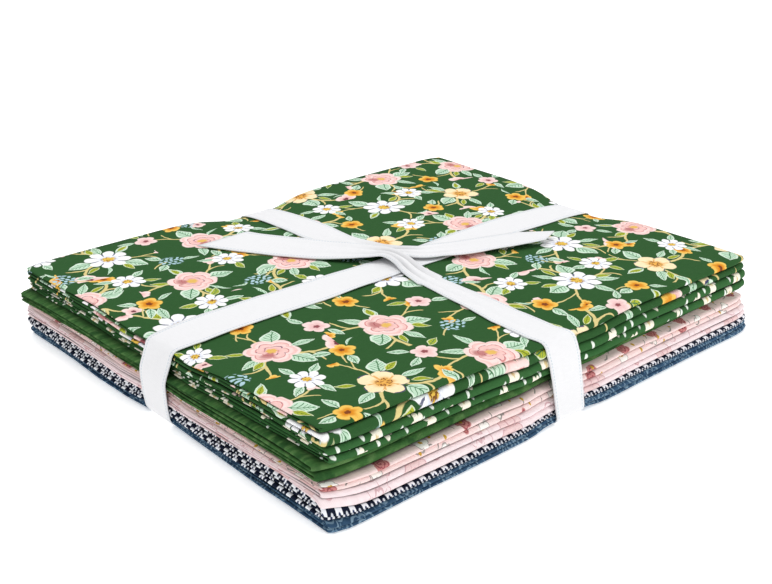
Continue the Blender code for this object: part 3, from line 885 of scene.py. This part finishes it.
# Clusters of tiny pale blue petals on a short stem, and mustard blossoms
x, y, pick = floral.scatter(*SPRAY, 5.0, 13, (0.0, 30.7))
leaves, beside, number = spokes(x, y, 3)
leaf(leaves - 10.0, beside, 9.0, 4.6, MINT, MINT_VEIN, floral.chance(number, pick, 5.0).above(0.35))
floral.paint(STEM, abs(y - x * x * 0.05).under(0.5, 0.15) * x.within(3.0, 11.0, 0.3))
cluster = (x * x + y * y * 1.4).math("SQRT").under(6.4, 0.6) * pick.below(0.55)
small_blossom(x, y, 6.0, MUSTARD_BLOSSOM, pick.above(0.55))
x, y, _ = floral.scatter(2.9, 2.5, 0.9, 20)
floral.paint((178, 210, 220), (x * x * 0.5 + y * y * 1.6).math("SQRT").under(0.95, 0.15) * cluster)
cut_floral = folded_cut("cut_floral", 6, TOP_RUN_ROWS)
floral.finish(cut_floral, "cloth_floral")

# The ribbon: white woven ribbon with a stitched line near each edge. One lap lies along the length. The
# other goes over it, round the width, and its two ends cross in a half knot and lie as loose tails.
RIBBON_WIDTH = 0.022
RIBBON_THICKNESS = 0.0004
RIBBON_LIFT = 0.0007
RIBBON_COLUMNS = 17
RIBBON_ROUGHNESS = 0.5
RIBBON_SLUBS = 0.25
STITCH_LINE = 9.4
STITCH_PITCH = 1.5
SELVAGE_LINE = (10.3, 10.8)
PATH_STEP = 0.0012
BED_MIDDLE_SHARE = 0.6
SHOULDER_HEIGHT = 0.032
TOP_FROM = 0.030
LENGTHWISE_ON_TOP = (  # x, middle y, width
    (-0.138, -0.0020, 0.0205),
    (-0.124, -0.0040, 0.0235),
    (-0.060, -0.0075, 0.0230),
    (-0.012, -0.0078, 0.0200),
    (0.094, -0.0037, 0.0230),
    (0.111, -0.0030, 0.0216),
    (0.140, -0.0016, 0.0190),
)
LENGTHWISE_BELOW = ((-0.138, -0.0002, 0.0190), (0.140, -0.0030, 0.0190))
CROSSWISE_ON_TOP = (  # y, middle x, width
    (-0.115, -0.0035, 0.0205),
    (-0.103, -0.0090, 0.0190),
    (-0.084, -0.0112, 0.0180),
    (-0.054, -0.0098, 0.0145),
    (-0.036, -0.0085, 0.0125),
    (0.036, -0.0050, 0.0180),
    (0.056, -0.0045, 0.0215),
    (0.086, -0.0035, 0.0196),
    (0.115, -0.0020, 0.0180),
)
CROSSWISE_BELOW = ((-0.115, -0.0028, 0.0185), (0.115, -0.0015, 0.0185))
FRONT_STRAND = (  # x, y, height over the cloth, width, height of the gathers, rise of its left side
    (-0.0084, -0.0340, 0.0008, 0.0150, 0.0004, 0.0),
    (-0.0072, -0.0220, 0.0018, 0.0125, 0.0007, 0.0),
    (-0.0055, -0.0110, 0.0038, 0.0105, 0.0010, 0.0),
    (-0.0058, -0.0015, 0.0046, 0.0112, 0.0009, 0.0),
    (-0.0095, 0.0070, 0.0038, 0.0160, 0.0005, -0.0004),
    (-0.0135, 0.0145, 0.0030, 0.0185, 0.0003, -0.0010),
    (-0.0210, 0.0260, 0.0024, 0.0200, 0.0002, -0.0018),
    (-0.0301, 0.0401, 0.0022, 0.0205, 0.0001, -0.0026),
    (-0.0400, 0.0575, 0.0022, 0.0205, 0.0000, -0.0026),
    (-0.0500, 0.0755, 0.0024, 0.0208, 0.0000, -0.0026),
)
BACK_STRAND = (
    (-0.0050, 0.0360, 0.0008, 0.0185, 0.0002, 0.0),
    (-0.0036, 0.0250, 0.0012, 0.0160, 0.0004, 0.0),
    (-0.0018, 0.0140, 0.0020, 0.0130, 0.0007, 0.0),
    (0.0002, 0.0055, 0.0027, 0.0112, 0.0009, 0.0),
    (0.0046, -0.0020, 0.0030, 0.0115, 0.0009, 0.0),
    (0.0111, -0.0082, 0.0029, 0.0145, 0.0006, 0.0),
    (0.0197, -0.0108, 0.0026, 0.0172, 0.0003, -0.0004),
    (0.0319, -0.0153, 0.0024, 0.0190, 0.0001, -0.0006),
    (0.0463, -0.0196, 0.0024, 0.0190, 0.0000, -0.0008),
    (0.0634, -0.0252, 0.0026, 0.0185, 0.0000, -0.0008),
    (0.0790, -0.0298, 0.0032, 0.0184, 0.0000, -0.0008),
)
TAIL_CUTS = (  # how far the ribbon's end runs on at its far side, middle and near side
    (-0.0090, 0.0000, 0.0090),
    (-0.0160, 0.0054, -0.0058),
)
TAIL_CUT_REACH = 0.026
STRAND_STEPS = 70
JOINT_ROWS = 8
JOINT_PASSES = 3

# Gathers: their height where a lap is drawn narrow, their pleats' rate across the ribbon and swing
# along it (size, rate and seed), the flutter of the edges, and the painted shade in the pleats' valleys
LAP_GATHERS = 0.0006
LAP_GATHERS_FROM = 0.02
WIDE_PLEATS = 2.6
WIDE_SWING = (0.5, 6.0, 71)
WIDE_START = 0.7
FINE_PLEATS = 4.7
FINE_SWING = (1.0, 9.0, 72)
FLUTTER = (0.00022, 11.0, 73)
GATHERS_FOR_FULL_SHADE = 0.0009
GATHER_SHADE = 0.36


def read_row(table, at):
    """The table's values at a place between its rows."""
    keys, *columns = zip(*table)
    return [np.interp(at, keys, column) for column in columns]


def wound_path(cuts, axis, bed):
    """The way of a tight lap round the stack, anticlockwise seen from the side it runs across."""
    near = []
    for cut in cuts:
        points = np.empty(len(cut.data.vertices) * 3, np.float32)
        cut.data.vertices.foreach_get("co", points)
        points = points.reshape(-1, 3)
        near.append(points[np.abs(points[:, axis] - bed) < BED_HALF * BED_MIDDLE_SHARE][:, (1 - axis, 2)])
    near = np.vstack(near)
    outline = near[convex_hull_2d([Vector(point) for point in near.tolist()])]
    closed = np.vstack([outline, outline[:1]])
    travelled = np.concatenate([[0.0], np.cumsum(np.hypot(*np.diff(closed, axis=0).T))])
    count = int(travelled[-1] / PATH_STEP)
    even = np.linspace(0.0, travelled[-1], count, endpoint=False)
    path = np.column_stack([np.interp(even, travelled, closed[:, i]) for i in (0, 1)])
    smooth = sum(np.roll(path, shift, axis=0) for shift in (-1, 0, 1)) / 3
    ahead = np.roll(smooth, -1, axis=0) - np.roll(smooth, 1, axis=0)
    ahead /= np.linalg.norm(ahead, axis=1)[:, None]
    outwards = np.column_stack([ahead[:, 1], -ahead[:, 0]])
    return smooth + outwards * RIBBON_LIFT, outwards


def rest_on_cloth(centres, sides, widths):
    """Lets a lap follow the cloth's slope across its width, on top of the stack."""
    ends = [centres + sides * widths[:, None] / 2 * side for side in (-1, 1)]
    rise = top_height(ends[1][:, 0], ends[1][:, 1]) - top_height(ends[0][:, 0], ends[0][:, 1])
    on_top = centres[:, 2] > SHOULDER_HEIGHT
    sides = sides + np.column_stack([np.zeros((len(sides), 2)), rise / widths * on_top])
    return sides / np.linalg.norm(sides, axis=1)[:, None]


def lap(path, outwards, axis, on_top, below):
    """Middle, sideways and outward directions, width and gathers along a lap."""
    top_middle, top_width = read_row(on_top, path[:, 0])
    low_middle, low_width = read_row(below, path[:, 0])
    upwards = np.clip(path[:, 1] / SHOULDER_HEIGHT, 0.0, 1.0)
    middle = low_middle + (top_middle - low_middle) * upwards
    width = low_width + (top_width - low_width) * upwards
    place = [path[:, 0], middle] if axis == 1 else [middle, path[:, 0]]
    centres = np.column_stack([*place, path[:, 1]])
    sides = np.zeros_like(centres)
    sides[:, axis] = 1.0
    normals = np.zeros_like(centres)
    normals[:, 1 - axis] = outwards[:, 0]
    normals[:, 2] = outwards[:, 1]
    gathers = np.clip((RIBBON_WIDTH - width) / RIBBON_WIDTH, 0.0, 1.0) * LAP_GATHERS * (path[:, 1] > LAP_GATHERS_FROM)
    return centres, rest_on_cloth(centres, sides, width), normals, width, gathers


def strand(table):
    """The same for a strand of the knot, from its lap to the end of its tail."""
    rows = np.array(table)
    at = np.linspace(0.0, len(rows) - 1, STRAND_STEPS)
    ahead = np.vstack([2 * rows[0] - rows[1], rows, 2 * rows[-1] - rows[-2]])
    i = np.minimum(at.astype(int), len(rows) - 2)
    t = (at - i)[:, None]
    a, b, c, d = (ahead[i + k] for k in range(4))
    rows = 0.5 * (2 * b + (c - a) * t + (2 * a - 5 * b + 4 * c - d) * t**2 + (3 * b - a - 3 * c + d) * t**3)
    x, y, lift, width, gathers, lean = rows.T
    centres = np.column_stack([x, y, top_height(x, y) + lift])
    ahead = np.gradient(centres, axis=0)
    ahead /= np.linalg.norm(ahead, axis=1)[:, None]
    sides = np.column_stack([-ahead[:, 1], ahead[:, 0], lean / width])
    sides /= np.linalg.norm(sides, axis=1)[:, None]
    return centres, sides, np.cross(ahead, sides), width, np.maximum(gathers, 0.0)


def ribbon_piece(name, centres, sides, normals, widths, gathers, cuts=None):
    """A ribbon along its way, with gathers in it and painted shade in their valleys; its ends can be cut at a slant.
    """
    across = np.linspace(-1.0, 1.0, RIBBON_COLUMNS)
    length = np.concatenate([[0.0], np.cumsum(np.linalg.norm(np.diff(centres, axis=0), axis=1))])
    along = length[:, None]
    pleats = np.cos(across * math.pi * WIDE_PLEATS + WIDE_START + swing(along, 0, *WIDE_SWING))
    pleats += np.sin(across * math.pi * FINE_PLEATS + swing(along, 0, *FINE_SWING)) / 2
    height = gathers[:, None] * pleats + swing(along, 0, *FLUTTER) * across**2
    ahead = np.gradient(centres, axis=0)
    ahead /= np.linalg.norm(ahead, axis=1)[:, None]
    cut = np.zeros(height.shape)
    if cuts:
        for sign, away, ends in ((-1.0, length, cuts[0]), (1.0, length[-1] - length, cuts[1])):
            near_end = np.clip(1.0 - away / TAIL_CUT_REACH, 0.0, 1.0)[:, None]
            cut += sign * near_end * np.interp(across, (-1, 0, 1), ends)
    middle = (
        centres[:, None, :]
        + sides[:, None, :] * (widths[:, None] / 2 * across[None, :])[..., None]
        + normals[:, None, :] * height[..., None]
        + ahead[:, None, :] * cut[..., None]
    )
    half = RIBBON_THICKNESS / 2
    outer = middle + normals[:, None, :] * half
    inner = middle - normals[:, None, :] * half
    points = np.concatenate([outer, inner[:, ::-1]], axis=1)
    place_across = np.concatenate([across, across[::-1]]) * RIBBON_WIDTH / 2
    uv = np.stack(np.broadcast_arrays(place_across[None, :], length[:, None]), axis=-1)
    # Painted shade in the pleats' valleys, darker where the ribbon is more gathered.
    valley_shade = np.clip(-pleats, 0.0, 1.0) * np.clip(gathers / GATHERS_FOR_FULL_SHADE, 0.0, 1.0)[:, None] ** 2 * GATHER_SHADE
    return cloth_object(name, points, uv, np.concatenate([valley_shade, valley_shade[:, ::-1]], axis=1))


def started(path, outwards, first):
    """The same closed way, begun at another of its points."""
    return np.roll(path, -first, axis=0), np.roll(outwards, -first, axis=0)


def nearest_on_top(path, place):
    """Number of the point on top of the stack that lies nearest a place."""
    return int(np.argmin(np.abs(path[:, 0] - place) + (path[:, 1] <= TOP_FROM)))


cuts = [cut_blue, cut_check, cut_blush, cut_posy, cut_mottled, cut_blossom, cut_floral]
path, outwards = wound_path(cuts, 1, BED_Y)
path, outwards = started(path, outwards, int(np.argmin(np.abs(path[:, 0]) + path[:, 1])))
path, outwards = np.vstack([path, path[:1]]), np.vstack([outwards, outwards[:1]])
lengthwise = ribbon_piece("lengthwise_lap", *lap(path, outwards, 1, LENGTHWISE_ON_TOP, LENGTHWISE_BELOW))

path, outwards = wound_path(cuts, 0, BED_X)
path, outwards = started(path, outwards, nearest_on_top(path, FRONT_STRAND[0][1]))
end = nearest_on_top(path, BACK_STRAND[0][1])
front_way = [part[::-1] for part in strand(FRONT_STRAND)]
lap_way = lap(path[1:end], outwards[1:end], 0, CROSSWISE_ON_TOP, CROSSWISE_BELOW)
back_way = strand(BACK_STRAND)
centres, sides, normals, widths, gathers = (np.concatenate(parts) for parts in zip(front_way, lap_way, back_way))
number = np.arange(len(centres))
joint = np.minimum(np.abs(number - STRAND_STEPS), np.abs(number - len(centres) + STRAND_STEPS)) < JOINT_ROWS
for _ in range(JOINT_PASSES):
    centres[joint] = (centres[np.roll(joint, -1)] + 2 * centres[joint] + centres[np.roll(joint, 1)]) / 4
for i in range(1, len(sides)):
    if np.dot(sides[i], sides[i - 1]) < 0:
        sides[i] = -sides[i]
facing = np.cross(np.gradient(centres, axis=0), sides)
facing /= np.linalg.norm(facing, axis=1)[:, None]
facing *= np.where(np.sum(facing * normals, axis=1) < 0, -1.0, 1.0)[:, None]
ribbon = ribbon_piece("tie_ribbon", centres, sides, facing, widths, gathers, TAIL_CUTS)

ribbon_shape = bmesh.new()
ribbon_shape.from_mesh(ribbon.data)
ribbon_shape.from_mesh(lengthwise.data)
ribbon_shape.to_mesh(ribbon.data)
ribbon_shape.free()
bpy.data.objects.remove(lengthwise)

ribbon_weave = Cloth("ribbon_weave", (238, 238, 240))
edge = abs(ribbon_weave.x)
stitch = abs((ribbon_weave.y / STITCH_PITCH).math("FRACT") - 0.5).under(0.34, 0.08)
ribbon_weave.paint((206, 216, 224), abs(edge - STITCH_LINE).under(0.32, 0.12) * stitch * 0.9)
ribbon_weave.paint((234, 238, 242), edge.over(*SELVAGE_LINE) * 0.6)
ribbon_weave.shader.inputs["Roughness"].default_value = RIBBON_ROUGHNESS
ribbon_weave.finish(ribbon, "ribbon", RIBBON_SLUBS)
